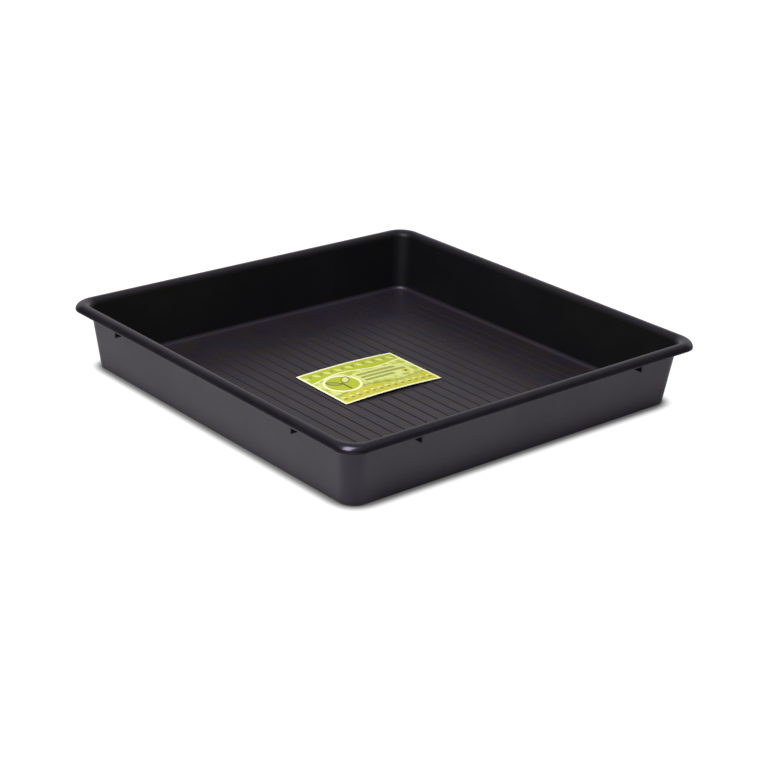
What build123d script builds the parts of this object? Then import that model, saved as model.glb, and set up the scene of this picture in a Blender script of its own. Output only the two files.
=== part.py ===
from build123d import *
from math import cos, radians, sin, tan
import os

# Potting soil tray: a large square tray of black plastic that stands on a bench or
# a greenhouse floor while pots are filled in it. It is one moulding: a ribbed floor,
# four walls that lean outwards, a hollow half-round rim, and eight small webs that
# tie the rim to the walls. A printed card lies on the floor.
# Lengths are in millimetres. The frame stands on the middle of the tray's underside,
# with +Z up and the floor ribs along Y.

# The tray as a whole
tray_width = 800.0
tray_height = 120.0
wall_thickness = 2.5
floor_thickness = 3.0
wall_lean_degrees = 6.6

# The rim: a half-round roll, hollow from below, a little broader round the corners.
# Its round is made of an odd number of narrow flats, so that one of them lies on top.
rim_radius = 12.5
rim_corner_radius = 40.0
rim_flats = 15

# The outer corners of the walls, under the rim and at the foot
wall_corner_radius = 32.0
foot_corner_radius = 30.0
foot_edge_radius = 4.0
floor_edge_radius = 8.0

# The floor ribs
rib_pitch = 25.0
rib_height = 1.2
rib_foot_width = 4.0
rib_top_width = 2.4
rib_end_gap = 12.0

# The webs between the rim and the walls, two on each side
web_spacing = 500.0
web_thickness = 3.0
web_drop = 13.5
web_setback = 5.0

# The card, which bows up between its short edges and lies a little askew
card_length = 218.0
card_depth = 148.0
card_thickness = 0.4
card_bow = 3.2
card_centre_x = -5.8
card_centre_y = 21.4
card_turn_degrees = -1.3

# Sizes that follow from those above
rim_base = tray_height - rim_radius
rim_centre_half = tray_width / 2 - rim_radius
flat_angle = 180 / rim_flats
flats_each_side = int(rim_flats / 2)
wall_top_half = rim_centre_half - rim_radius + wall_thickness
wall_foot_half = wall_top_half - rim_base * tan(radians(wall_lean_degrees))
rib_top = floor_thickness + rib_height


def outer_half(z):
    """Half the width across the walls' outer faces, at height z."""
    return wall_foot_half + (wall_top_half - wall_foot_half) * z / rim_base


def outer_corner(z):
    """Radius of the walls' outer corners, at height z."""
    return foot_corner_radius + (wall_corner_radius - foot_corner_radius) * z / rim_base


def plan(z, inset):
    """The rounded square that lies inset within the walls' outer faces, at height z."""
    width = 2 * (outer_half(z) - inset)
    return Pos(0, 0, z) * RectangleRounded(width, width, outer_corner(z) - inset)


def leaning_block(bottom_z, inset, edge_radius):
    """A solid with the walls' lean up to the rim, its lowest edges rounded."""
    block = loft([plan(bottom_z, inset), plan(rim_base, inset)], ruled=True)
    lowest_edges = block.faces().sort_by(Axis.Z)[0].edges()
    return fillet(lowest_edges, edge_radius)


def make_shell():
    """The floor and the four walls."""
    outside = leaning_block(0, 0, foot_edge_radius)
    inside = leaning_block(floor_thickness, wall_thickness, floor_edge_radius)
    return outside - inside


def rim_plan(inset, angle):
    """The rounded square that the rim's section draws round the tray at this angle.

    The angle runs from the rim's outer edge, over its top, to the wall's inner face.
    """
    radius = rim_radius - inset
    across = cos(radians(angle))
    rise = sin(radians(angle)) / sin(radians(flats_each_side * flat_angle))
    corner_at_wall = wall_corner_radius - wall_thickness + inset
    corner_at_edge = rim_corner_radius - inset
    corner = corner_at_wall + (corner_at_edge - corner_at_wall) * (1 + across) / 2
    width = 2 * (rim_centre_half + radius * across)
    return Pos(0, 0, rim_base + radius * rise) * RectangleRounded(width, width, corner)


def half_round_ring(inset):
    """A solid ring with a half-round section, inset from the rim's outer surface."""
    outer_angles = [n * flat_angle for n in range(flats_each_side + 1)]
    outer_side = loft([rim_plan(inset, angle) for angle in outer_angles], ruled=True)
    opening = loft([rim_plan(inset, 180 - angle) for angle in outer_angles], ruled=True)
    return outer_side - opening


def make_rim():
    """The half-round rim above the walls' top edge, open below."""
    return half_round_ring(0) - half_round_ring(wall_thickness)


def make_ribs():
    """The floor's ribs, all parallel to Y, one of them on the tray's middle line."""
    flat_half = outer_half(floor_thickness) - wall_thickness - floor_edge_radius
    reach = flat_half - rib_end_gap
    ribs_each_side = int(reach / rib_pitch)
    outline = Polyline(
        (-rib_foot_width / 2, floor_thickness),
        (rib_foot_width / 2, floor_thickness),
        (rib_top_width / 2, rib_top),
        (-rib_top_width / 2, rib_top),
        close=True,
    )
    section = Plane.XZ * make_face(outline)
    rib = extrude(section, amount=reach, both=True)
    return [Pos(n * rib_pitch, 0, 0) * rib for n in range(-ribs_each_side, ribs_each_side + 1)]


def make_webs():
    """Eight upright webs: each fills the rim's hollow and runs down the wall."""
    low = rim_base - web_drop
    outer_edge = tray_width / 2 - web_setback
    skin_middle = rim_radius - wall_thickness / 2
    wall_middle = wall_thickness / 2
    outline = [
        Line((outer_half(low) - wall_middle, low), (outer_edge, low)),
        Line((outer_edge, low), (outer_edge, rim_base)),
        Line((outer_edge, rim_base), (rim_centre_half + skin_middle, rim_base)),
        ThreePointArc(
            (rim_centre_half + skin_middle, rim_base),
            (rim_centre_half, rim_base + skin_middle),
            (rim_centre_half - skin_middle, rim_base),
        ),
        Line((rim_centre_half - skin_middle, rim_base), (outer_half(low) - wall_middle, low)),
    ]
    section = Plane.XZ * make_face(outline)
    web = extrude(section, amount=web_thickness / 2, both=True)
    webs = []
    for side in range(4):
        for along in (-web_spacing / 2, web_spacing / 2):
            webs.append(Rot(0, 0, 90 * side) * Pos(0, along, 0) * web)
    return webs


def make_tray():
    """The whole moulding as one solid."""
    return make_shell() + [make_rim()] + make_ribs() + make_webs()


def make_card():
    """The printed card: a thin sheet, bowed along X, its short edges on the ribs."""
    half = card_length / 2
    low = rib_top
    high = rib_top + card_thickness
    outline = [
        ThreePointArc((-half, low), (0, low + card_bow), (half, low)),
        Line((half, low), (half, high)),
        ThreePointArc((half, high), (0, high + card_bow), (-half, high)),
        Line((-half, high), (-half, low)),
    ]
    section = Plane.XZ * make_face(outline)
    card = extrude(section, amount=card_depth / 2, both=True)
    return Pos(card_centre_x, card_centre_y, 0) * Rot(0, 0, card_turn_degrees) * card


parts = {"tray": make_tray(), "label_card": make_card()}

os.makedirs("parts", exist_ok=True)
for name, solid in parts.items():
    export_step(solid, f"parts/{name}.step")
    print(name, "volume", round(solid.volume), "valid", solid.is_valid)
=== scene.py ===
from math import cos, pi, radians, sin, tan

import bmesh
import bpy
from bpy.props import FloatProperty, FloatVectorProperty, PointerProperty
from bpy.types import Operator, Panel, PropertyGroup
from mathutils import Matrix, Vector


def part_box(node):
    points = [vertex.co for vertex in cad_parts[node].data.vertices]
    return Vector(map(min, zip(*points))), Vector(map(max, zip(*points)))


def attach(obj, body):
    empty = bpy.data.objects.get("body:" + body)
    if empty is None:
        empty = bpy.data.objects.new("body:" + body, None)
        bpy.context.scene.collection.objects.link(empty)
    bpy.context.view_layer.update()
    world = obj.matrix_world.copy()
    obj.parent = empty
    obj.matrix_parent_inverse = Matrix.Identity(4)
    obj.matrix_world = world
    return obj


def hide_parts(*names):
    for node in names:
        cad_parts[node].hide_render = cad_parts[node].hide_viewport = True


bl_info = {
    "name": "Potting tray",
    "version": (1, 0, 0),
    "blender": (4, 5, 0),
    "location": "3D View > Sidebar > Potting tray",
    "description": "A square black potting tray with a printed card, in a plain pale studio",
    "category": "Add Mesh",
}

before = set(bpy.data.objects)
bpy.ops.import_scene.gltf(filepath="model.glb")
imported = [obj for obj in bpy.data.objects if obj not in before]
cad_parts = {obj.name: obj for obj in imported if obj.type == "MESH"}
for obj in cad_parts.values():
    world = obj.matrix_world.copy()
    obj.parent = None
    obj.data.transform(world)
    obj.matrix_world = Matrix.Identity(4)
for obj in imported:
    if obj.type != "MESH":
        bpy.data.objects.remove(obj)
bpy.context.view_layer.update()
TRAY_LOW, TRAY_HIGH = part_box("tray")
CARD_LOW, CARD_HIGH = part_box("label_card")
TRAY_WIDTH = TRAY_HIGH.x - TRAY_LOW.x
TRAY_HEIGHT = TRAY_HIGH.z

# How many steps each round of the tray is drawn in
CORNER_STEPS = 16
FOOT_EDGE_STEPS = 6
FLOOR_EDGE_STEPS = 9
WALL_STEPS = 4
RIM_STEPS = 44
HOLLOW_STEPS = 18
LIP_STEPS = 3
WEB_TOP_STEPS = 8
SMALL_EDGE_STEPS = 2

# How many parts the card is divided into, along its bow and across it
CARD_COLUMNS = 48
CARD_ROWS = 32

# Places, in metres, that are nearer than this count as one
SAME_PLACE = 1e-5
WELD_DISTANCE = 0.00002

# The Z of a face's normal: from the first on the face is level, and below the second it
# looks down
LEVEL = 0.999
DOWNWARDS = -0.01

# The lowest and the highest that the grain's uneven gloss comes to
GLOSS_RANGE = (0.35, 0.95)

# Directions from the tray's middle to its back corner and to the white board
TO_BACK_CORNER = (0.7071, 0.7071, 0)
TO_BOARD = (-0.8, -0.6, 0)

# Where a node tree starts on the left, and how far apart its columns and rows are
TREE_START = -2400
COLUMN_WIDTH = 200
ROW_HEIGHT = 260
ROWS = 3

# Width of the camera's sensor, in millimetres
SENSOR_WIDTH = 36


def length(name, description, default):
    """A size in metres that a user may change."""
    return FloatProperty(name=name, description=description, default=default, unit="LENGTH",
                         subtype="DISTANCE", precision=4)


def colour(name, description, default):
    """A colour that a user may change."""
    return FloatVectorProperty(name=name, description=description, default=default, size=3,
                               subtype="COLOR", min=0, max=1)


def share(name, description, default):
    """A number from nought to one that a user may change."""
    return FloatProperty(name=name, description=description, default=default, min=0, max=1,
                         subtype="FACTOR")


def angle(name, description, degrees):
    """An angle that a user may change."""
    return FloatProperty(name=name, description=description, default=radians(degrees),
                         subtype="ANGLE", unit="ROTATION")


def number(name, description, default):
    """A plain number that a user may change."""
    return FloatProperty(name=name, description=description, default=default)


class TrayShape(PropertyGroup):
    """Sizes of the moulded tray."""
    wall: length("Wall", "Thickness of the walls and the rim", 0.0025)
    floor: length("Floor", "Thickness of the floor", 0.003)
    lean: angle("Lean", "How far the walls lean outwards", 6.6)
    rim_radius: length("Rim radius", "Outer radius of the half-round rim", 0.0125)
    rim_corner: length("Rim corner", "Radius of the rim's outer corners", 0.040)
    wall_corner: length("Wall corner", "Radius of the wall's corners under the rim", 0.032)
    foot_corner: length("Foot corner", "Radius of the wall's corners at the ground", 0.030)
    foot_edge: length("Foot edge", "Rounding of the edge that stands on the ground", 0.004)
    floor_edge: length("Floor edge", "Rounding between the floor and the walls inside", 0.008)
    lip_rounding: length("Lip rounding", "Rounding of the rim's free edge", 0.0005)
    rib_pitch: length("Rib pitch", "Distance from rib to rib", 0.025)
    rib_height: length("Rib height", "Height of a floor rib", 0.0012)
    rib_width: length("Rib width", "Width of a floor rib at its foot", 0.0040)
    rib_end_gap: length("Rib end gap", "Plain floor past the ribs' ends", 0.012)
    rib_rounding: length("Rib rounding", "Rounding of a rib's upper edges", 0.0011)
    web_spacing: length("Web spacing", "Distance between the two webs on a side", 0.5)
    web_thickness: length("Web thickness", "Thickness of a web under the rim", 0.003)
    web_drop: length("Web drop", "How far a web hangs below the rim's edge", 0.0135)
    web_setback: length("Web setback", "How far a web stands back from the rim's edge", 0.005)
    web_rounding: length("Web rounding", "Rounding of a web's edges", 0.0005)
    # The rim's roll gets the painted shade on its inner side, up to this angle
    painted_shade_roll: angle("Shaded roll", "How far up the rim's roll its inner shade reaches", 46)


class CardShape(PropertyGroup):
    """Sizes of the printed card."""
    length: length("Length", "Length of the card along its bow", 0.218)
    depth: length("Depth", "Width of the card across its bow", 0.148)
    thickness: length("Thickness", "Thickness of the card", 0.0004)
    bow: length("Bow", "How far the card rises between its short edges", 0.0032)
    turn: angle("Turn", "How far the card lies askew", -1.3)


class PrintInks(PropertyGroup):
    """Inks and finish of the printed card."""
    lime: colour("Lime", "The main green and the band along the top", (0.41, 0.47, 0.003))
    pale: colour("Pale green", "The clouds in the green", (0.65, 0.69, 0.22))
    yellow: colour("Yellow", "The bed along the bottom", (0.58, 0.54, 0.0))
    leaf: colour("Leaf green", "The leaves and the bars", (0.30, 0.33, 0.05))
    shadow: colour("Dark green", "The stalk, the seeds and the soil", (0.10, 0.10, 0.03))
    cream: colour("Cream", "The margin and the palest shapes", (0.85, 0.86, 0.52))
    back: colour("Back", "The unprinted back of the card", (0.72, 0.71, 0.66))
    margin: length("Margin", "Width of the cream margin", 0.0045)
    roughness: share("Roughness", "Roughness of the varnish", 0.38)
    refraction: number("Refraction", "The varnish's index of refraction", 1.48)
    dust: share("Dust", "How much dust has settled", 0.03)
    dust_colour: colour("Dust colour", "Colour of the dust", (0.42, 0.38, 0.33))


class StudioSettings(PropertyGroup):
    """The camera, the lamp, the room and the ground."""
    azimuth: angle("Azimuth", "Camera's turn about the tray", -41.04)
    elevation: angle("Elevation", "Camera's angle above the horizon", 22.35)
    roll: angle("Roll", "Camera's tilt to the side", 2.284)
    distance: length("Distance", "Camera's distance from the middle of the tray", 3.2528)
    aside: length("Aside", "Camera's step to its right", 0.0019)
    above: length("Above", "Camera's step upwards", 0.0052)
    focal_length: number("Focal length", "Camera's lens, in millimetres", 85.85)
    ground_size: length("Ground size", "Width of the ground sheet", 30.0)
    ground_colour: colour("Ground colour", "Colour of the ground sheet", (0.88, 0.88, 0.88))
    ground_glow: share("Ground glow", "White that the camera alone sees on the ground", 1.0)
    ground_gloss: share("Ground gloss", "White that reflections alone see on the ground", 0.08)
    shadow_reach: length("Shadow reach", "How far from the tray the ground stays grey", 0.026)
    key_azimuth: angle("Key azimuth", "Direction of the key lamp, from +Y", -112)
    key_elevation: angle("Key elevation", "Angle of the key lamp above the horizon", 61)
    key_distance: length("Key distance", "Distance of the key lamp", 2.6)
    key_width: length("Key width", "Width of the key lamp", 1.0)
    key_height: length("Key height", "Height of the key lamp", 2.0)
    key_power: number("Key power", "Power of the key lamp, in watts", 75.0)
    room_sides: share("Room sides", "Brightness low down at the sides", 0.11)
    room_top: share("Room top", "Brightness overhead", 0.44)
    screen_level: share("Screen", "Brightness of the screen behind the tray", 0.60)
    board_level: share("Board", "Brightness of the white board before the tray", 0.75)


class PlasticFinish(PropertyGroup):
    """Colour and gloss of the black plastic."""
    black: colour("Black", "The plastic's darker colour", (0.0064, 0.0049, 0.0086))
    black_light: colour("Lighter black", "Its lighter colour", (0.0086, 0.0067, 0.0112))
    # Painted shade: the next two colours make the inner walls, the roll's inner side and the
    # webs a darker, less reflective copy of the same plastic
    inner_black: colour("Inner black", "Colour of the shaded sides", (0.0052, 0.0049, 0.0057))
    warm: colour("Warm black", "The worn floor, stained by soil", (0.0170, 0.0122, 0.0122))
    # The cool black is also blended in, more and more, towards the floor's back corner
    cool: colour("Cool black", "The worn floor where it is clean", (0.0138, 0.0112, 0.0198))
    sheen: colour("Sheen", "Tint of what the plastic reflects", (0.81, 0.73, 0.92))
    painted_shade_sheen: colour("Inner sheen", "Tint of what the shaded sides reflect",
                        (0.46, 0.45, 0.48))
    refraction: number("Refraction", "The plastic's index of refraction", 1.5)
    rim_roughness: share("Rim roughness", "Roughness of the rim", 0.22)
    wall_roughness: share("Wall roughness", "Roughness of the outer walls", 0.45)
    inner_roughness: share("Inner roughness", "Roughness of the inner walls", 0.42)
    floor_roughness: share("Floor roughness", "Roughness of the floor inside", 0.40)
    rim_unevenness: share("Rim unevenness", "How much the outside's roughness varies", 0.03)
    inner_unevenness: share("Inner unevenness", "The same on the inner walls", 0.04)
    floor_unevenness: share("Floor unevenness", "The same on the floor", 0.06)
    rim_grain: length("Rim grain", "Depth of the grain on the outside", 0.00002)
    inner_grain: length("Inner grain", "Depth of the grain on the inner walls", 0.00003)
    floor_grain: length("Floor grain", "Depth of the grain on the floor", 0.00005)
    patch: length("Patch", "Width of the patches of lighter black", 0.045)
    rub: share("Rub", "How much rougher the floor is where it is rubbed", 0.03)
    # How far the floor is blended towards the cool black near the back corner
    clean: share("Clean", "How clean the floor is towards the back corner", 0.5)
    dust: share("Dust", "How much dust has settled", 0.005)
    dust_colour: colour("Dust colour", "Colour of the dust", (0.38, 0.36, 0.37))


def only(piece):
    """Make one object the only selected and active one."""
    bpy.ops.object.select_all(action="DESELECT")
    piece.select_set(True)
    bpy.context.view_layer.objects.active = piece


def edit(piece, mode="FACE"):
    """Open one object for editing, with nothing in it selected."""
    only(piece)
    bpy.ops.object.mode_set(mode="EDIT")
    bpy.ops.mesh.select_mode(type=mode)
    bpy.ops.mesh.select_all(action="DESELECT")


def leave():
    """Close the object that is open for editing."""
    bpy.ops.object.mode_set(mode="OBJECT")


def take_all():
    """Select all of the open mesh."""
    bpy.ops.mesh.select_all(action="SELECT")


def take(piece, kind, wanted):
    """Select only those points, edges or faces of the open mesh that are wanted."""
    bpy.ops.mesh.select_all(action="DESELECT")
    for part in getattr(bmesh.from_edit_mesh(piece.data), kind):
        part.select_set(wanted(part))


def draw_out(x, y, z):
    """Extrude what is selected by this much."""
    bpy.ops.mesh.extrude_region_move(TRANSFORM_OT_translate={"value": (x, y, z)})


def round_off(kind, offset, steps):
    """Round the selected edges or points."""
    bpy.ops.mesh.bevel(offset=offset, segments=steps, profile=0.5, affect=kind)


def apply_modifier(piece, kind, **settings):
    """Add one modifier with its settings and apply it."""
    only(piece)
    modifier = piece.modifiers.new(kind.lower(), kind)
    for key, value in settings.items():
        setattr(modifier, key, value)
    bpy.ops.object.modifier_apply(modifier=modifier.name)


def settle(piece):
    """Put the object at the origin, unturned and unscaled, its place in its mesh."""
    only(piece)
    bpy.ops.object.transform_apply(location=True, rotation=True, scale=True)


def arc(centre_x, centre_z, radius, start, end, steps):
    """Points (x, z) of an arc in a cross-section, from one angle to another."""
    turn = (end - start) / steps
    angles = [start + turn * n for n in range(steps + 1)]
    return [(centre_x + radius * cos(a), centre_z + radius * sin(a)) for a in angles]


def reach_of(place):
    """How far a place lies from the tray's middle, along X or Y, whichever is more."""
    return max(abs(place.x), abs(place.y))


class TraySection:
    """The tray's cross-section, as half widths and corner radii by height."""

    def __init__(self, shape):
        self.shape = shape
        self.rim_base = TRAY_HEIGHT - shape.rim_radius
        self.rim_middle = TRAY_WIDTH / 2 - shape.rim_radius
        self.top_half = self.rim_middle - shape.rim_radius + shape.wall
        self.foot_half = self.top_half - self.rim_base * tan(shape.lean)

    def outer_half(self, z):
        """Half the width across the walls' outer faces, at this height."""
        return self.foot_half + (self.top_half - self.foot_half) * z / self.rim_base

    def corner(self, half, z):
        """Corner radius of the ring that runs round the tray at this point."""
        shape = self.shape
        if z >= self.rim_base:
            across, rise = half - self.rim_middle, z - self.rim_base
            radius = Vector((across, rise)).length
            inset = shape.rim_radius - radius
            at_wall = shape.wall_corner - shape.wall + inset
            at_edge = shape.rim_corner - inset
            return at_wall + (at_edge - at_wall) * (1 + across / radius) / 2
        outer = shape.foot_corner + (shape.wall_corner - shape.foot_corner) * z / self.rim_base
        return outer - (self.outer_half(z) - half)

    def edge_arc(self, inset, bottom, radius, steps):
        """The rounding between a level face and the leaning wall above it."""
        lean = self.shape.lean
        centre = self.outer_half(bottom) - inset - radius * (1 - sin(lean)) / cos(lean)
        return arc(centre, bottom + radius, radius, -pi / 2, -lean, steps)

    def at_wall_top(self, place):
        """Whether a point lies on the line where the wall's outer face meets the rim."""
        radius = self.shape.wall_corner
        centre = self.top_half - radius
        from_straight = abs(reach_of(place) - self.top_half)
        from_centre = Vector((abs(place.x) - centre, abs(place.y) - centre)).length
        return min(from_straight, abs(from_centre - radius)) < SAME_PLACE

    def inside_roll(self, place, normal):
        """Whether a face is on the half of the rim's roll that faces into the tray."""
        rise = self.shape.rim_radius * sin(self.shape.painted_shade_roll)
        inwards = normal.xy.dot(place.xy) < 0
        return inwards and self.rim_base < place.z < self.rim_base + rise

    def on_web(self, place):
        """Whether a face is on the part of a web that hangs below the rim."""
        clear_of_wall = self.shape.wall / 5
        beyond = reach_of(place) - self.outer_half(place.z)
        return place.z < self.rim_base and beyond > clear_of_wall

    def within_walls(self, place):
        """Whether a face is on the walls' inner side, or further in."""
        past_wall_middle = 0.6 * self.shape.wall
        return reach_of(place) < self.outer_half(place.z) - past_wall_middle

    def wall_line(self, inset, start, end, steps):
        """Points up or down one face of the wall, without the first."""
        heights = [start + (end - start) * n / steps for n in range(1, steps + 1)]
        return [(self.outer_half(z) - inset, z) for z in heights]

    def outline(self):
        """The whole section, from the underside round the rim to the floor inside."""
        s = self.shape
        base, middle, lip = self.rim_base, self.rim_middle, s.lip_rounding
        outer = s.rim_radius
        inner = outer - s.wall
        points = self.edge_arc(0, 0, s.foot_edge, FOOT_EDGE_STEPS)
        points += self.wall_line(0, points[-1][1], base, WALL_STEPS)
        points += arc(middle, base, inner, pi, 0, HOLLOW_STEPS)[1:-1]
        points += arc(middle + inner + lip, base + lip, lip, pi, 3 * pi / 2, LIP_STEPS)
        points += arc(middle + outer - lip, base + lip, lip, -pi / 2, 0, LIP_STEPS)
        points += arc(middle, base, outer, 0, pi, RIM_STEPS)[1:]
        inside = self.edge_arc(s.wall, s.floor, s.floor_edge, FLOOR_EDGE_STEPS)
        points += self.wall_line(s.wall, base, inside[-1][1], WALL_STEPS)
        points += inside[-2::-1]
        return points


def shape_ring(piece, half, corner, z, before):
    """Bring the selected face to a rounded square of this half width, corner and height.

    The face is extruded and scaled as a whole, and then each corner about its own point.
    """
    half_before, corner_before, z_before = before
    draw_out(0, 0, z - z_before)
    grow = half / half_before
    bpy.ops.transform.resize(value=(grow, grow, 1), center_override=(0, 0, z))
    corner_now = corner_before * grow
    ease = corner / corner_now
    just_over = 1.001
    reach = half - just_over * corner_now
    mesh = bmesh.from_edit_mesh(piece.data)
    mesh.faces.index_update()
    index = next(face.index for face in mesh.faces if face.select)
    for side_x in (-1, 1):
        for side_y in (-1, 1):
            mesh = bmesh.from_edit_mesh(piece.data)
            mesh.faces.ensure_lookup_table()
            bpy.ops.mesh.select_all(action="DESELECT")
            for point in mesh.faces[index].verts:
                point.select = point.co.x * side_x > reach and point.co.y * side_y > reach
            bpy.ops.transform.resize(value=(ease, ease, 1),
                                     center_override=(side_x * half, side_y * half, z))
    mesh = bmesh.from_edit_mesh(piece.data)
    mesh.faces.ensure_lookup_table()
    mesh.faces[index].select_set(True)


def mould_shell(section):
    """The floor, walls and rim, drawn as one face that travels round the section."""
    points = section.outline()
    half, z = points[0]
    corner = section.corner(half, z)
    bpy.ops.mesh.primitive_plane_add(size=2 * half)
    piece = bpy.context.object
    piece.name = piece.data.name = "moulded_tray"
    edit(piece, "VERT")
    take_all()
    round_off("VERTICES", corner, CORNER_STEPS)
    take_all()
    before = (half, corner, z)
    for half, z in points[1:]:
        corner = section.corner(half, z)
        shape_ring(piece, half, corner, z, before)
        before = (half, corner, z)
    take_all()
    bpy.ops.mesh.normals_make_consistent(inside=False)

    def under_rim(edge):
        level = all(abs(v.co.z - section.rim_base) < SAME_PLACE for v in edge.verts)
        return level and all(section.at_wall_top(v.co) for v in edge.verts)

    take(piece, "edges", under_rim)
    bpy.ops.mesh.mark_sharp()
    leave()
    return piece


def raise_ribs(piece, section):
    """The floor's ribs, cut into the floor as strips and drawn up."""
    s = section.shape
    half, z = section.outline()[-1]
    reach = half - s.rib_end_gap
    each_side = int(reach / s.rib_pitch)
    places = [n * s.rib_pitch for n in range(-each_side, each_side + 1)]
    # A strip between two cuts has no more corners than this
    most_corners = 7

    def on_floor(face):
        level = face.normal.z > LEVEL
        return level and abs(face.calc_center_median().z - z) < SAME_PLACE

    def within_gap(face):
        furthest = max(abs(v.co.y) for v in face.verts)
        return on_floor(face) and furthest < reach + 10 * SAME_PLACE

    def rib_foot(face):
        middle = face.calc_center_median()
        strip = any(abs(middle.x - place) < s.rib_width / 4 for place in places)
        return on_floor(face) and strip and len(face.verts) <= most_corners

    edit(piece)
    take(piece, "faces", on_floor)
    bpy.ops.mesh.inset(thickness=s.rib_end_gap)
    for place in places:
        for edge in (place - s.rib_width / 2, place + s.rib_width / 2):
            bpy.ops.mesh.bisect(plane_co=(edge, 0, 0), plane_no=(1, 0, 0))
            take(piece, "faces", within_gap)
    take(piece, "faces", rib_foot)
    draw_out(0, 0, s.rib_height)
    round_off("EDGES", s.rib_rounding, SMALL_EDGE_STEPS)
    leave()


def shape_web(section):
    """One web, drawn on the tray's +X side: it fills the hollow and hangs down the wall."""
    s = section.shape
    skin = s.rim_radius - s.wall / 2
    low = section.rim_base - s.web_drop
    outer = TRAY_WIDTH / 2 - s.web_setback
    inner = section.rim_middle - skin
    bpy.ops.object.select_all(action="DESELECT")
    bpy.ops.mesh.primitive_cube_add(size=1)
    web = bpy.context.object
    edit(web)
    take_all()
    bpy.ops.transform.resize(value=(2 * skin, s.web_thickness, skin))
    bpy.ops.transform.translate(value=(section.rim_middle, 0, section.rim_base + skin / 2))

    def top_side(edge):
        along_y = abs(edge.verts[0].co.y - edge.verts[1].co.y) > s.web_thickness / 2
        high = min(v.co.z for v in edge.verts) > section.rim_base + skin / 2
        return along_y and high

    def low_inside(edge):
        return all(v.co.z < low + SAME_PLACE and v.co.x < inner + SAME_PLACE
                   for v in edge.verts)

    def free_edge(edge):
        below = max(v.co.z for v in edge.verts) < section.rim_base + SAME_PLACE
        return below and min(v.co.x for v in edge.verts) > outer - SAME_PLACE

    take(web, "edges", top_side)
    rounded_share = 0.98
    round_off("EDGES", rounded_share * skin, WEB_TOP_STEPS)
    take(web, "faces", lambda face: face.normal.z < -LEVEL)
    # The underside is doubled in its place and narrowed, and then drawn down
    draw_out(0, 0, 0)
    narrow = (outer - inner) / (2 * skin)
    hollow_foot = (inner, 0, section.rim_base)
    bpy.ops.transform.resize(value=(narrow, 1, 1), center_override=hollow_foot)
    draw_out(0, 0, -s.web_drop)
    take(web, "edges", low_inside)
    into_wall = section.outer_half(low) - s.wall / 2 - inner
    bpy.ops.transform.translate(value=(into_wall, 0, 0))
    take(web, "edges", free_edge)
    round_off("EDGES", s.web_rounding, SMALL_EDGE_STEPS)
    leave()
    return web


def add_webs(piece, section):
    """Eight upright webs, two on each side of the tray, joined to it."""
    web = shape_web(section)
    spacing = section.shape.web_spacing
    webs = []
    for side in range(4):
        for along in (-spacing / 2, spacing / 2):
            only(web)
            bpy.ops.object.duplicate()
            copy = bpy.context.object
            copy.location = (0, along, 0)
            settle(copy)
            copy.rotation_euler = (0, 0, side * pi / 2)
            settle(copy)
            webs.append(copy)
    bpy.data.objects.remove(web)
    bpy.ops.object.select_all(action="DESELECT")
    for copy in webs:
        copy.select_set(True)
    bpy.context.view_layer.objects.active = webs[0]
    bpy.ops.object.join()
    joined = bpy.context.object
    apply_modifier(piece, "BOOLEAN", operation="UNION", solver="MANIFOLD", object=joined)
    bpy.data.objects.remove(joined)
    edit(piece, "VERT")
    take_all()
    bpy.ops.mesh.remove_doubles(threshold=WELD_DISTANCE)
    leave()


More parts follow.
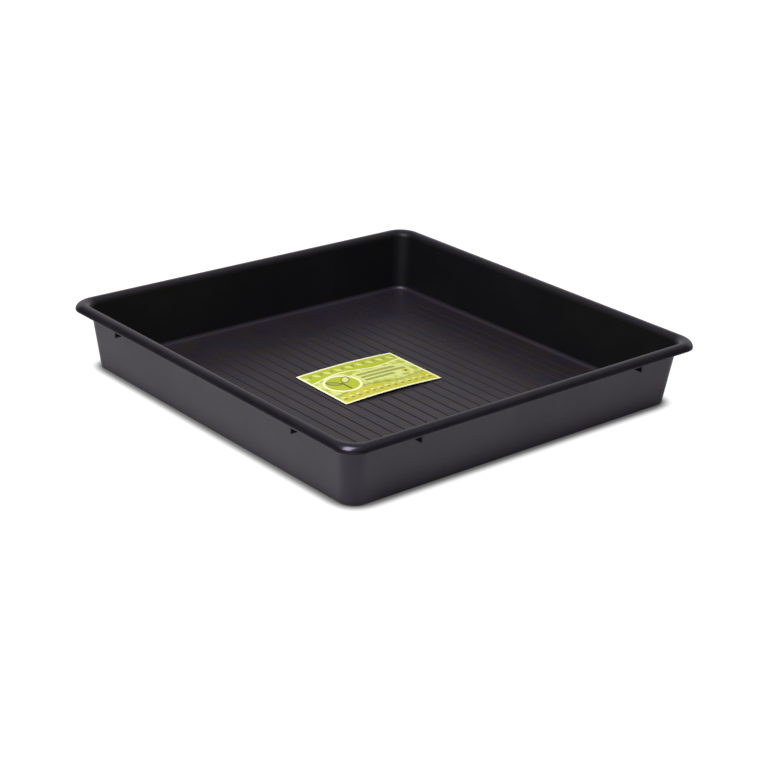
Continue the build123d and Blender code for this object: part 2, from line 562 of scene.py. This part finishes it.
class Recipe:
    """A node tree that is written from left to right."""

    def __init__(self, tree):
        self.tree = tree
        self.step = 0

    def node(self, kind, values=None, **settings):
        """A node of this kind; each value is a number, or a socket to wire in."""
        column, row = divmod(self.step, ROWS)
        made = self.tree.nodes.new("ShaderNode" + kind)
        made.location = (TREE_START + COLUMN_WIDTH * column, ROW_HEIGHT * (1 - row))
        self.step += 1
        for key, value in settings.items():
            setattr(made, key, value)
        for socket, value in (values or {}).items():
            self.put(made.inputs[socket], value)
        return made

    def put(self, socket, value):
        """Set a socket, or wire another one into it."""
        if isinstance(value, bpy.types.NodeSocket):
            self.tree.links.new(value, socket)
        else:
            socket.default_value = value

    def add_to(self, socket, value, factor=1.0):
        """Add a value, times this factor, to what is wired into a socket."""
        before = socket.links[0].from_socket
        self.put(socket, self.math("MULTIPLY_ADD", value, factor, before))

    def math(self, operation, *values, clamp=False):
        """The result of a sum on numbers."""
        numbered = dict(enumerate(values))
        return self.node("Math", numbered, operation=operation, use_clamp=clamp).outputs[0]

    def vector(self, operation, *values):
        """The result of a sum on vectors, which is a number for some of them."""
        made = self.node("VectorMath", dict(enumerate(values)), operation=operation)
        gives_number = operation in ("DOT_PRODUCT", "LENGTH", "DISTANCE")
        return made.outputs["Value" if gives_number else "Vector"]

    def position(self):
        """Places on the piece itself, in metres."""
        return self.node("TexCoord").outputs["Object"]

    def apart(self, place):
        """The X, Y and Z of a place."""
        return self.node("SeparateXYZ", {"Vector": place}).outputs

    def noise(self, position, size, detail=2.0, roughness=0.5):
        """Noise from nought to one, whose lumps are about this many metres across."""
        values = {"Vector": position, "Scale": 1 / size, "Detail": detail,
                  "Roughness": roughness}
        return self.node("TexNoise", values).outputs["Fac"]

    def ramp(self, value, start, end, low=0.0, high=1.0):
        """Ease a value from one range to another and hold it at the ends."""
        values = {"Value": value, "From Min": start, "From Max": end,
                  "To Min": low, "To Max": high}
        return self.node("MapRange", values, interpolation_type="SMOOTHSTEP").outputs["Result"]

    def blend(self, amount, first, second):
        """A colour between two others.

        The node has sockets of the same names for other kinds of value, so those for
        colours are taken by their place.
        """
        made = self.node("Mix", data_type="RGBA")
        for place, value in ((0, amount), (6, first), (7, second)):
            if isinstance(value, tuple) and len(value) == 3:
                value = (*value, 1)
            self.put(made.inputs[place], value)
        return made.outputs[2]

    def emboss(self, shader, height, depth):
        """Raise a shader's surface by a pattern of heights, this many metres deep."""
        relief = self.node("Bump", {"Height": height, "Strength": 1.0, "Distance": depth})
        self.put(shader.inputs["Normal"], relief.outputs["Normal"])


def material(name):
    """A new material, its recipe and its shader."""
    made = bpy.data.materials.new(name)
    made.use_nodes = True
    recipe = Recipe(made.node_tree)
    return made, recipe, made.node_tree.nodes["Principled BSDF"]


def group(name, inputs, outputs):
    """A new node group, its recipe, and its sockets inside."""
    tree = bpy.data.node_groups.new(name, "ShaderNodeTree")
    for label, kind in inputs.items():
        tree.interface.new_socket(label, in_out="INPUT", socket_type="NodeSocket" + kind)
    for label, kind in outputs.items():
        tree.interface.new_socket(label, in_out="OUTPUT", socket_type="NodeSocket" + kind)
    source = tree.nodes.new("NodeGroupInput")
    source.location = (TREE_START - COLUMN_WIDTH, 0)
    target = tree.nodes.new("NodeGroupOutput")
    target.location = (3 * COLUMN_WIDTH, 0)
    return tree, Recipe(tree), source.outputs, target.inputs


def grain_group():
    """The fine texture of a moulded surface, and its uneven gloss."""
    inputs = {"Position": "Vector", "Scale": "Float"}
    outputs = {"Height": "Float", "Gloss": "Float"}
    tree, recipe, given, result = group("moulding_grain", inputs, outputs)
    scaled = recipe.node("VectorMath", {"Vector": given["Position"], "Scale": given["Scale"]},
                         operation="SCALE")
    position = scaled.outputs["Vector"]
    pebbles_to_a_metre = 900.0
    pebbles = recipe.node("TexVoronoi", {"Vector": position, "Scale": pebbles_to_a_metre},
                          feature="F1")
    fine = recipe.noise(position, 0.0016, 3.0, 0.6)
    coarse = recipe.noise(position, 0.06, 2.0, 0.5)
    height = recipe.math("MULTIPLY_ADD", pebbles.outputs["Distance"], 0.6, fine)
    recipe.put(result["Height"], recipe.math("MULTIPLY_ADD", coarse, 0.5, height))
    cloudy = recipe.noise(position, 0.11, 4.0, 0.55)
    recipe.put(result["Gloss"], recipe.math("MULTIPLY_ADD", fine, 0.3, cloudy))
    return tree


def dust_group():
    """Where pale dust lies: thin clouds of it, with a few specks."""
    inputs = {"Position": "Vector", "Amount": "Float"}
    tree, recipe, given, result = group("settled_dust", inputs, {"Cover": "Float"})
    clouds = recipe.ramp(recipe.noise(given["Position"], 0.16, 5.0, 0.6), 0.45, 0.75)
    specks = recipe.ramp(recipe.noise(given["Position"], 0.0035, 2.0, 0.5), 0.66, 0.74)
    cover = recipe.math("MULTIPLY_ADD", specks, 0.8, clouds)
    recipe.put(result["Cover"], recipe.math("MULTIPLY", cover, given["Amount"], clamp=True))
    return tree


def scuff_group():
    """Long faint rubs that run one way along a surface."""
    inputs = {"Position": "Vector", "Stretch": "Vector"}
    tree, recipe, given, result = group("scuffs", inputs, {"Rub": "Float"})
    drawn = recipe.vector("MULTIPLY", given["Position"], given["Stretch"])
    lines = recipe.ramp(recipe.noise(drawn, 1.0, 3.0, 0.55), 0.60, 0.72)
    patches = recipe.ramp(recipe.noise(given["Position"], 0.09, 2.0, 0.5), 0.42, 0.62)
    recipe.put(result["Rub"], recipe.math("MULTIPLY", lines, patches))
    return tree


def shared(name):
    """The node group of this name, built the first time that it is asked for."""
    makers = {"moulding_grain": grain_group, "settled_dust": dust_group, "scuffs": scuff_group}
    return bpy.data.node_groups.get(name) or makers[name]()


def placed(recipe, name, values):
    """Place a shared node group in a material and give its outputs."""
    return recipe.node("Group", values, node_tree=shared(name)).outputs


def plastic(name, finish, inks, sheen, gloss):
    """Black plastic of two inks in patches.

    The gloss is the roughness, how much it varies, and the depth of the grain.
    """
    roughness, spread, grain_depth = gloss
    made, recipe, shader = material(name)
    position = recipe.position()
    grain = placed(recipe, "moulding_grain", {"Position": position, "Scale": 1.0})
    dust = placed(recipe, "settled_dust", {"Position": position, "Amount": finish.dust})
    patches = recipe.ramp(recipe.noise(position, finish.patch, 4.0, 0.6), 0.40, 0.62)
    shade = recipe.blend(patches, *(tuple(ink) for ink in inks))
    shade = recipe.blend(dust["Cover"], shade, tuple(finish.dust_colour))
    recipe.put(shader.inputs["Base Color"], shade)
    rough = recipe.ramp(grain["Gloss"], *GLOSS_RANGE, roughness - spread, roughness + spread)
    rough = recipe.math("MULTIPLY_ADD", dust["Cover"], 0.6, rough, clamp=True)
    recipe.put(shader.inputs["Roughness"], rough)
    recipe.emboss(shader, grain["Height"], grain_depth)
    shader.inputs["IOR"].default_value = finish.refraction
    shader.inputs["Specular Tint"].default_value = (*sheen, 1)
    return made, recipe, shader


def wear_floor(made, recipe, shader, finish):
    """Rub the floor with long faint marks, and blend it towards the cool black near the back
    corner.
    """
    position = recipe.position()
    across_ribs, along_ribs, upwards = 160.0, 8.0, 40.0
    stretch = (across_ribs, along_ribs, upwards)
    rubs = placed(recipe, "scuffs", {"Position": position, "Stretch": stretch})
    recipe.add_to(shader.inputs["Roughness"], rubs["Rub"], finish.rub)
    to_back = recipe.vector("DOT_PRODUCT", position, TO_BACK_CORNER)
    clean = recipe.ramp(to_back, 0.12, 0.38, 0.0, finish.clean)
    stained = shader.inputs["Base Color"].links[0].from_socket
    recipe.put(shader.inputs["Base Color"], recipe.blend(clean, stained, tuple(finish.cool)))
    return made


def dull_walls(made, recipe, shader, top, duller):
    """Make the walls, which end at this height, rougher than the rim above them."""
    height = recipe.apart(recipe.position())["Z"]
    below, above = 0.003, 0.001
    added = recipe.ramp(height, top - below, top + above, duller, 0.0)
    recipe.add_to(shader.inputs["Roughness"], added)
    return made


class Print:
    """Plain shapes printed on a flat piece, as masks of nought and one.

    Places and sizes are in metres, from the middle of the piece.
    """

    def __init__(self, recipe, place):
        self.recipe = recipe
        self.place = place

    def row(self, y, pitch):
        """The same plane, repeated along X at this pitch, with its middle at this height."""
        apart = self.recipe.apart(self.place)
        x = self.recipe.math("WRAP", apart["X"], pitch / 2, -pitch / 2)
        up = self.recipe.math("SUBTRACT", apart["Y"], y)
        return Print(self.recipe, self.recipe.node("CombineXYZ", {"X": x, "Y": up}).outputs[0])

    def edge(self, distance, size):
        """All that is nearer than this size, with a slightly soft edge."""
        blur = 0.0005
        return self.recipe.ramp(distance, size - blur, size + blur, 1.0, 0.0)

    def disc(self, x, y, radius):
        """A round spot."""
        return self.edge(self.recipe.vector("DISTANCE", self.place, (x, y, 0)), radius)

    def bar(self, x, y, half_width, half_height, rounding):
        """A rounded bar about a middle point."""
        vector = self.recipe.vector
        reach = vector("ABSOLUTE", vector("SUBTRACT", self.place, (x, y, 0)))
        core = (half_width - rounding, half_height - rounding, 0)
        beyond = vector("MAXIMUM", vector("SUBTRACT", reach, core), (0, 0, 0))
        return self.edge(vector("LENGTH", beyond), rounding)

    def leaf(self, x, y, lean, size):
        """A pointed leaf: what two equal discs have in common."""
        step_share, radius_share = 0.75, 1.25
        aside = Vector((cos(lean), sin(lean))) * size * step_share
        discs = [self.disc(x + aside.x * side, y + aside.y * side, size * radius_share)
                 for side in (-1, 1)]
        return self.recipe.math("MULTIPLY", *discs)

    def over(self, shade, mask, ink, strength=1.0):
        """Print one ink over what is there already."""
        if strength < 1:
            mask = self.recipe.math("MULTIPLY", mask, strength)
        return self.recipe.blend(mask, shade, tuple(ink))


def print_beds(art, inks):
    """A cloudy green ground with a wavy band along the top and a bed along the bottom."""
    recipe = art.recipe
    soft = recipe.ramp(recipe.noise(art.place, 0.020, 3.0, 0.55), 0.40, 0.58)
    shade = recipe.blend(soft, tuple(inks.lime), tuple(inks.pale))
    apart = recipe.apart(art.place)
    radians_per_metre, wave_height = 42.0, 0.006
    wave = recipe.math("SINE", recipe.math("MULTIPLY", apart["X"], radians_per_metre))
    crest = recipe.math("MULTIPLY_ADD", wave, wave_height, apart["Y"])
    shade = art.over(shade, recipe.ramp(crest, 0.033, 0.035), inks.cream)
    shade = art.over(shade, recipe.ramp(crest, 0.036, 0.038), inks.lime)
    shade = art.over(shade, recipe.ramp(crest, -0.030, -0.032), inks.shadow, 0.45)
    return art.over(shade, recipe.ramp(crest, -0.036, -0.038), inks.yellow, 0.75)


def print_rows(art, inks, shade):
    """A row of leaves along the top, and one of seeds along the bottom."""
    tops = art.row(0.054, 0.024)
    shade = art.over(shade, tops.leaf(-0.005, 0.0, radians(35), 0.0085), inks.pale)
    shade = art.over(shade, tops.leaf(0.006, 0.002, radians(-30), 0.0070), inks.leaf)
    seeds = art.row(-0.054, 0.016)
    shade = art.over(shade, seeds.disc(0.0, 0.003, 0.0046), inks.pale)
    return art.over(shade, seeds.disc(0.0, -0.002, 0.0034), inks.shadow, 0.7)


def print_sprout(art, inks, shade):
    """A sprout with two leaves in a ring, each leaf with a dark outline."""
    x, outline, size = -0.060, 0.0160, 0.0125
    shade = art.over(shade, art.disc(x, 0.0, 0.036), inks.cream)
    shade = art.over(shade, art.disc(x, 0.0, 0.031), inks.lime)
    shade = art.over(shade, art.bar(x, -0.012, 0.0020, 0.016, 0.0018), inks.shadow)
    for place, lean, ink in (((-0.0735, 0.008), radians(40), inks.leaf),
                             ((-0.0460, 0.011), radians(-40), inks.pale)):
        shade = art.over(shade, art.leaf(*place, lean, outline), inks.shadow)
        shade = art.over(shade, art.leaf(*place, lean, size), ink)
    return shade


def print_bars(art, inks, shade):
    """Three plain bars and a spot on a pale panel."""
    shade = art.over(shade, art.bar(0.034, 0.001, 0.058, 0.0235, 0.006), inks.pale, 0.9)
    for x, y, reach in ((0.026, 0.014, 0.044), (0.034, 0.001, 0.051), (0.016, -0.012, 0.034)):
        shade = art.over(shade, art.bar(x, y, reach, 0.0040, 0.0030), inks.leaf)
    shade = art.over(shade, art.disc(0.076, -0.012, 0.0075), inks.yellow)
    return art.over(shade, art.disc(0.076, -0.012, 0.0035), inks.shadow)


def print_on_card(inks, shape):
    """Varnished card with a plain garden print: a sprout, leaves, bars and beds of seeds."""
    made, recipe, shader = material("printed_card")
    middle = (CARD_LOW + CARD_HIGH) / 2
    lies_at = {"Vector": recipe.position(), "Location": tuple(middle),
               "Rotation": (0, 0, shape.turn)}
    moved = recipe.node("Mapping", lies_at, vector_type="TEXTURE")
    place = recipe.vector("MULTIPLY", moved.outputs[0], (1, 1, 0))
    art = Print(recipe, place)
    shade = print_rows(art, inks, print_beds(art, inks))
    shade = print_bars(art, inks, print_sprout(art, inks, shade))
    half_length = shape.length / 2 - inks.margin
    half_depth = shape.depth / 2 - inks.margin
    inner = art.bar(0, 0, half_length, half_depth, 0.003)
    shade = recipe.blend(inner, tuple(inks.cream), shade)
    dust = placed(recipe, "settled_dust", {"Position": place, "Amount": inks.dust})
    shade = recipe.blend(dust["Cover"], shade, tuple(inks.dust_colour))
    recipe.put(shader.inputs["Base Color"], shade)
    grain = placed(recipe, "moulding_grain", {"Position": place, "Scale": 2.0})
    smoothest, roughest = inks.roughness - 0.05, inks.roughness + 0.07
    rough = recipe.ramp(grain["Gloss"], *GLOSS_RANGE, smoothest, roughest)
    recipe.put(shader.inputs["Roughness"], rough)
    recipe.emboss(shader, grain["Height"], 0.00001)
    shader.inputs["IOR"].default_value = inks.refraction
    return made


def bare_card(inks):
    """The card's unprinted back and cut edges."""
    made, recipe, shader = material("bare_card")
    drawn = recipe.vector("MULTIPLY", recipe.position(), (1, 3, 1))
    fibres = recipe.noise(drawn, 0.002, 4.0, 0.6)
    darker = 0.92
    shade = recipe.blend(fibres, tuple(inks.back), tuple(part * darker for part in inks.back))
    recipe.put(shader.inputs["Base Color"], shade)
    recipe.put(shader.inputs["Roughness"], recipe.ramp(fibres, 0.3, 0.7, 0.68, 0.8))
    recipe.emboss(shader, fibres, 0.00002)
    return made


class TRAY_OT_mould(Operator):
    """Mould the tray: floor, walls, rim, ribs and webs in one piece"""
    bl_idname = "potting_tray.mould"
    bl_label = "Mould the tray"

    def execute(self, context):
        """Mould it and give it its finishes."""
        section = TraySection(context.scene.tray_shape)
        bpy.ops.object.select_all(action="DESELECT")
        piece = mould_shell(section)
        raise_ribs(piece, section)
        add_webs(piece, section)
        only(piece)
        bpy.ops.object.shade_smooth_by_angle(angle=radians(30))
        apply_modifier(piece, "WEIGHTED_NORMAL", keep_sharp=True, weight=100)
        self.finish(piece, section, context.scene.plastic_finish)
        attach(piece, "root")
        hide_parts("tray")
        return {"FINISHED"}

    def finish(self, piece, section, finish):
        """Give the outside and the floor their own finishes, and paint shade on the inner
        walls, the roll's inner side and the webs with a darker, less reflective copy of the
        plastic.
        """
        inks = (finish.black, finish.black_light)
        gloss = (finish.rim_roughness, finish.rim_unevenness, finish.rim_grain)
        outside = plastic("smooth_black_plastic", finish, inks, finish.sheen, gloss)
        # Painted shade: a darker, less reflective copy of the plastic for the inner walls, the
        # roll's inner side and the webs
        inks = (finish.inner_black, finish.inner_black)
        gloss = (finish.inner_roughness, finish.inner_unevenness, finish.inner_grain)
        inside = plastic("inner_black_plastic", finish, inks, finish.painted_shade_sheen, gloss)
        inks = (finish.warm, finish.cool)
        gloss = (finish.floor_roughness, finish.floor_unevenness, finish.floor_grain)
        floor = plastic("grained_black_plastic", finish, inks, finish.sheen, gloss)
        duller = finish.wall_roughness - finish.rim_roughness
        piece.data.materials.clear()
        piece.data.materials.append(dull_walls(*outside, section.rim_base, duller))
        piece.data.materials.append(inside[0])
        piece.data.materials.append(wear_floor(*floor, finish))
        floor_low = section.shape.floor - SAME_PLACE
        floor_high = section.shape.floor + section.shape.floor_edge

        def open_inside(face, low, high):
            middle = face.calc_center_median()
            between = low < middle.z < high and section.within_walls(middle)
            return between and face.normal.z > DOWNWARDS

        # Faces that get the painted shade: the inner walls, the roll's inner side and the webs
        # below the rim
        def shaded(face):
            middle = face.calc_center_median()
            upwards = face.normal.z > DOWNWARDS
            on_roll = upwards and section.inside_roll(middle, face.normal)
            on_wall = open_inside(face, floor_high - SAME_PLACE, section.rim_base)
            return on_wall or on_roll or section.on_web(middle)

        def on_floor(face):
            return open_inside(face, floor_low, floor_high)

        for slot, wanted in ((1, shaded), (2, on_floor)):
            edit(piece)
            take(piece, "faces", wanted)
            piece.active_material_index = slot
            bpy.ops.object.material_slot_assign()
            leave()


class TRAY_OT_card(Operator):
    """Lay the printed card on the ribs"""
    bl_idname = "potting_tray.card"
    bl_label = "Lay the card"

    def execute(self, context):
        """Bow a thin sheet, print it and lay it down."""
        shape = context.scene.card_shape
        middle = (CARD_LOW + CARD_HIGH) / 2
        bpy.ops.object.select_all(action="DESELECT")
        bpy.ops.mesh.primitive_grid_add(x_subdivisions=CARD_COLUMNS, y_subdivisions=CARD_ROWS,
                                        size=1)
        card = bpy.context.object
        card.name = card.data.name = "printed_label_card"
        edit(card)
        take_all()
        bpy.ops.transform.resize(value=(shape.length, shape.depth, 1))
        leave()
        self.bow(card, shape)
        inks = context.scene.print_inks
        card.data.materials.append(print_on_card(inks, shape))
        card.data.materials.append(bare_card(inks))
        apply_modifier(card, "SOLIDIFY", thickness=shape.thickness, offset=1,
                       material_offset=1, material_offset_rim=1)
        card.rotation_euler = (0, 0, shape.turn)
        card.location = (middle.x, middle.y, CARD_LOW.z)
        settle(card)
        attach(card, "root")
        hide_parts("label_card")
        return {"FINISHED"}

    def bow(self, card, shape):
        """Lift the card row by row into a low arch along its length."""
        edit(card, "VERT")
        mesh = bmesh.from_edit_mesh(card.data)
        rows = sorted({round(v.co.x, 6) for v in mesh.verts})
        for x in rows:
            take(card, "verts", lambda point: abs(point.co.x - x) < SAME_PLACE)
            across = x / (shape.length / 2)
            bpy.ops.transform.translate(value=(0, 0, shape.bow * (1 - across ** 2)))
        leave()


class TRAY_OT_stage(Operator):
    """Set the camera, the lamp, the room and the pale ground"""
    bl_idname = "potting_tray.stage"
    bl_label = "Set the stage"

    def execute(self, context):
        """Place all of it."""
        studio = context.scene.studio_settings
        self.place_camera(context, studio)
        self.lay_ground(context, studio)
        self.light(context, studio)
        context.scene.view_settings.view_transform = "Standard"
        return {"FINISHED"}

    def place_camera(self, context, studio):
        """The camera, turned towards the tray's middle and then tilted to the side."""
        turn, rise, roll = studio.azimuth, studio.elevation, studio.roll
        back = Vector((sin(turn) * cos(rise), -cos(turn) * cos(rise), sin(rise)))
        level_right = Vector((0, 0, 1)).cross(back).normalized()
        level_up = back.cross(level_right)
        right = cos(roll) * level_right + sin(roll) * level_up
        up = cos(roll) * level_up - sin(roll) * level_right
        place = back * studio.distance + right * studio.aside + up * studio.above
        turned = Matrix((right, up, back)).transposed().to_4x4()
        data = bpy.data.cameras.new("camera")
        data.lens = studio.focal_length
        data.sensor_width = SENSOR_WIDTH
        camera = bpy.data.objects.new("camera", data)
        camera.matrix_world = Matrix.Translation(place) @ turned
        context.scene.collection.objects.link(camera)
        context.scene.camera = camera

    def lay_ground(self, context, studio):
        """A white sheet with a painted shadow of the tray close to it, and plain elsewhere.

        The camera sees its glow, which gives way near the tray as painted shadow. The paper
        itself is left darker under the tray as painted shadow, far from it as a painted
        fall-off of light, and wherever the camera looks at it.
        """
        bpy.ops.object.select_all(action="DESELECT")
        bpy.ops.mesh.primitive_plane_add(size=studio.ground_size)
        ground = bpy.context.object
        ground.name = "ground_sheet"
        made, recipe, shader = material("ground_sheet")
        made.node_tree.nodes.remove(shader)
        reach = {"Distance": studio.shadow_reach}
        openness = recipe.node("AmbientOcclusion", reach, samples=16).outputs["AO"]
        rays = recipe.node("LightPath").outputs
        painted_shadow_depth, painted_falloff_far, dark_looked_at = 0.35, 0.8, 0.85
        # Painted contact shadow: the paper's colour darkens where the tray closes the ground
        # in
        painted_contact_shadow = recipe.ramp(openness, 0.45, 0.8, painted_shadow_depth, 0.0)
        looked_at = recipe.math("MULTIPLY", rays["Is Camera Ray"], dark_looked_at)
        darker = recipe.math("MAXIMUM", painted_contact_shadow, looked_at)
        # Painted fall-off of light: the paper's colour darkens far from the tray, as
        # reflections see it
        from_tray = recipe.vector("LENGTH", recipe.position())
        far = recipe.ramp(from_tray, 0.5, 1.3, 0.0, painted_falloff_far)
        darker = recipe.math("MAXIMUM", darker, far)
        shade = recipe.blend(darker, tuple(studio.ground_colour), (0.0, 0.0, 0.0))
        paper = recipe.node("BsdfDiffuse", {"Color": shade})
        # Painted contact shadow in the glow the camera sees: it fades where the tray closes
        # the ground in
        glow_past_painted_shadow = recipe.ramp(openness, 0.45, 0.98, 0.10, 1.0)
        to_camera = recipe.math("MULTIPLY", rays["Is Camera Ray"], glow_past_painted_shadow)
        to_camera = recipe.math("MULTIPLY", to_camera, studio.ground_glow)
        to_gloss = recipe.math("MAXIMUM", rays["Is Glossy Ray"], rays["Is Transmission Ray"])
        glow = recipe.math("MULTIPLY_ADD", to_gloss, studio.ground_gloss, to_camera)
        white = recipe.node("Emission", {"Strength": glow})
        both = recipe.node("AddShader", {0: paper.outputs[0], 1: white.outputs[0]})
        clear = recipe.node("BsdfTransparent")
        under = recipe.node("NewGeometry").outputs["Backfacing"]
        sheet = recipe.node("MixShader", {0: under, 1: both.outputs[0], 2: clear.outputs[0]})
        recipe.put(made.node_tree.nodes["Material Output"].inputs["Surface"], sheet.outputs[0])
        ground.data.materials.append(made)

    def light(self, context, studio):
        """One large lamp, high up to the left of the camera, and the room."""
        data = bpy.data.lights.new("key_lamp", "AREA")
        data.shape = "RECTANGLE"
        data.size = studio.key_width
        data.size_y = studio.key_height
        data.energy = studio.key_power
        lamp = bpy.data.objects.new("key_lamp", data)
        turn, rise = studio.key_azimuth, studio.key_elevation
        towards = Vector((sin(turn) * cos(rise), cos(turn) * cos(rise), sin(rise)))
        lamp.location = towards * studio.key_distance
        lamp.rotation_mode = "QUATERNION"
        lamp.rotation_quaternion = towards.to_track_quat("Z", "Y")
        context.scene.collection.objects.link(lamp)
        lamp.visible_camera = False
        self.surround(context, studio)

    def surround(self, context, studio):
        """The room: dim at the sides and brighter overhead, with a screen and a board.

        The pale screen stands behind the tray and the white board before it. The camera
        itself sees plain white all round.
        """
        world = bpy.data.worlds.new("studio")
        context.scene.world = world
        world.use_nodes = True
        recipe = Recipe(world.node_tree)
        towards = recipe.node("TexCoord").outputs["Generated"]
        height = recipe.apart(towards)["Z"]
        behind = recipe.vector("DOT_PRODUCT", towards, TO_BACK_CORNER)
        room = recipe.ramp(height, 0.50, 0.85, studio.room_sides, studio.room_top)
        screen = recipe.ramp(behind, 0.3, 0.7)
        low_edge = recipe.ramp(height, -0.02, 0.16)
        high_edge = recipe.ramp(height, 0.55, 0.75, 1.0, 0.0)
        screen = recipe.math("MULTIPLY", recipe.math("MULTIPLY", screen, low_edge), high_edge)
        rest = recipe.math("SUBTRACT", studio.screen_level, room)
        level = recipe.math("MULTIPLY_ADD", screen, rest, room)
        ahead = recipe.vector("DOT_PRODUCT", towards, TO_BOARD)
        board = recipe.ramp(ahead, 0.75, 0.92)
        board = recipe.math("MULTIPLY", board, recipe.ramp(height, -0.05, 0.05))
        board = recipe.math("MULTIPLY", board, recipe.ramp(height, 0.30, 0.45, 1.0, 0.0))
        rest = recipe.math("SUBTRACT", studio.board_level, level)
        level = recipe.math("MULTIPLY_ADD", board, rest, level)
        seen = recipe.node("LightPath").outputs["Is Camera Ray"]
        level = recipe.math("MAXIMUM", level, seen)
        background = world.node_tree.nodes["Background"]
        background.inputs["Color"].default_value = (1, 1, 1, 1)
        recipe.put(background.inputs["Strength"], level)


class TRAY_PT_sidebar(Panel):
    """Buttons for the tray, the card and the stage"""
    bl_label = "Potting tray"
    bl_space_type = "VIEW_3D"
    bl_region_type = "UI"
    bl_category = "Potting tray"

    def draw(self, context):
        """One button for each operator."""
        for operator in OPERATORS:
            self.layout.operator(operator.bl_idname)


OPERATORS = (TRAY_OT_mould, TRAY_OT_card, TRAY_OT_stage)
GROUPS = {"tray_shape": TrayShape, "card_shape": CardShape, "plastic_finish": PlasticFinish,
          "print_inks": PrintInks, "studio_settings": StudioSettings}


def register():
    """Make the settings, operators and panel known to Blender."""
    for made in (*GROUPS.values(), *OPERATORS, TRAY_PT_sidebar):
        bpy.utils.register_class(made)
    for name, settings in GROUPS.items():
        setattr(bpy.types.Scene, name, PointerProperty(type=settings))


def unregister():
    """Take them out again."""
    for name in GROUPS:
        delattr(bpy.types.Scene, name)
    for made in reversed((*GROUPS.values(), *OPERATORS, TRAY_PT_sidebar)):
        bpy.utils.unregister_class(made)


def main():
    """Build the tray, the card and the stage."""
    register()
    bpy.ops.potting_tray.mould()
    bpy.ops.potting_tray.card()
    bpy.ops.potting_tray.stage()


if __name__ == "__main__":
    main()
